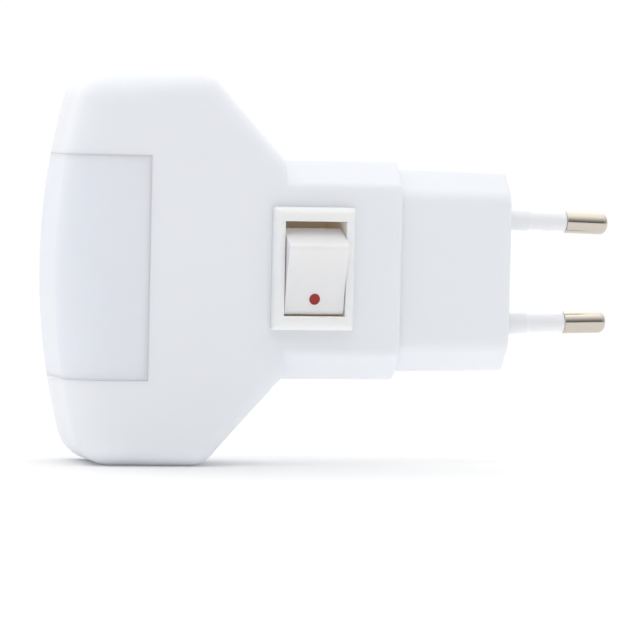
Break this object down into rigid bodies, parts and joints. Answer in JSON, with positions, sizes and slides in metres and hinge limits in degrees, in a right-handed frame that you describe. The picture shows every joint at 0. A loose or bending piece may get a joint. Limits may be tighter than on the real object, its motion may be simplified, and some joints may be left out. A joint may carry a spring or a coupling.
{
  "type": "plug-in night light",
  "caption": "Flat plug-in night light with an opal wrap-round lens, a flared two-part shell, a rocker switch on the neck and a flat plug with round pins.",
  "frame": {"origin": "middle of the plug's engagement face, between the two pins", "axes": "+X along the pins, out of the plug into the socket; +Z along the line through both pins, up in the picture; +Y away from the face that carries the switch"},
  "size_m": [0.1016, 0.0283, 0.0688],
  "materials": {
    "opal_plastic": "satin, milky",
    "shell_plastic": "satin",
    "block_plastic": "satin",
    "plated_brass": "polished nickel plate",
    "sleeve_plastic": "satin",
    "tinned_metal": "tinned",
    "switch_plastic": "fine grain",
    "red_paint": "gloss",
    "spring_wire": "drawn wire",
    "plunger_plastic": "natural",
    "contact_brass": "stamped strip",
    "contact_tip": "silver alloy",
    "board_laminate": "white lacquer on laminate",
    "led_case": "yellow gel",
    "film_case": "dipped",
    "can_sleeve": "shrink sleeve",
    "chip_case": "moulded",
    "resistor_coat": "lacquered",
    "wire_brown": "soft insulation",
    "wire_black": "soft insulation",
    "wire_blue": "soft insulation"
  },
  "bodies": {
    "light": {"diffuser": "opal_plastic", "near_shell": "shell_plastic", "far_shell": "shell_plastic", "plug_block": "block_plastic", "upper_pin": "plated_brass", "lower_pin": "plated_brass", "upper_pin_sleeve": "sleeve_plastic", "lower_pin_sleeve": "sleeve_plastic", "upper_solder_tag": "tinned_metal", "lower_solder_tag": "tinned_metal", "switch_housing": "switch_plastic", "common_terminal": "contact_brass", "load_terminal": "contact_brass", "fixed_contact": "contact_tip", "led_board": "board_laminate", "leds": "led_case", "dropper_capacitor": "film_case", "smoothing_capacitor": "can_sleeve", "bridge_rectifier": "chip_case", "bleed_resistor": "resistor_coat", "fusible_resistor": "resistor_coat", "live_wire": "wire_brown", "switched_wire": "wire_black", "neutral_wire": "wire_blue"},
    "rocker": {"rocker": "switch_plastic", "marker_dot": "red_paint", "rocker_spring": "spring_wire", "switch_plunger": "plunger_plastic"},
    "see_saw_contact": {"contact_blade": "contact_brass", "moving_contact": "contact_tip"}
  },
  "joints": [
    {"name": "rocker_tilt", "type": "hinge", "parent": "light", "child": "rocker", "pos_m": [-0.03731, -0.00647, 0], "axis": [-0.9966, -0.082, 0], "range_deg": [0, 28.8]},
    {"name": "contact_tilt", "type": "hinge", "parent": "light", "child": "see_saw_contact", "pos_m": [-0.03777, -0.00089, 0], "axis": [0.9966, 0.082, 0], "range_deg": [0, 12]}
  ],
  "couplings": [
    {"joint": "contact_tilt", "follows": "rocker_tilt", "ratio": 0.41667}
  ]
}
